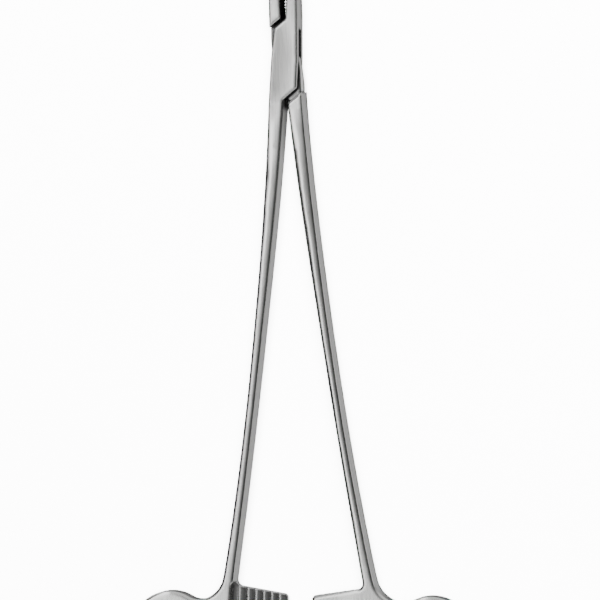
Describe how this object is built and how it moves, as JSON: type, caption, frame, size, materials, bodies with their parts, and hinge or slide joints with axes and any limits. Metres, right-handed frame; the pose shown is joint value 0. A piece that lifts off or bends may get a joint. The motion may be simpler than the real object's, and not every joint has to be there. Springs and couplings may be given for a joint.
{
  "type": "right-angle forceps",
  "caption": "Slender locking forceps with a box lock, serrated jaws bent to a right angle at the tips, ratchet tongues and finger rings.",
  "frame": {"origin": "where the axis of the lock meets the plane of the back faces, on which the instrument lies", "axes": "+X across the arms towards the ring of the male arm, +Y along the instrument towards the jaws, +Z out of the front face, the way the jaw tips bend"},
  "size_m": [0.0938, 0.2219, 0.0164],
  "materials": {
    "arm_steel": "satin stainless steel, fine brushing along the arms",
    "pin_steel": "satin stainless steel, ground flush with the box"
  },
  "bodies": {
    "female": {"female_arm": "arm_steel", "lock_pin": "pin_steel"},
    "male": {"male_arm": "arm_steel"}
  },
  "joints": [
    {"name": "box_lock", "type": "hinge", "parent": "female", "child": "male", "pos_m": [0, 0, 0.00222], "axis": [0, 0, 1], "range_deg": [-4.4, 45.5]}
  ]
}
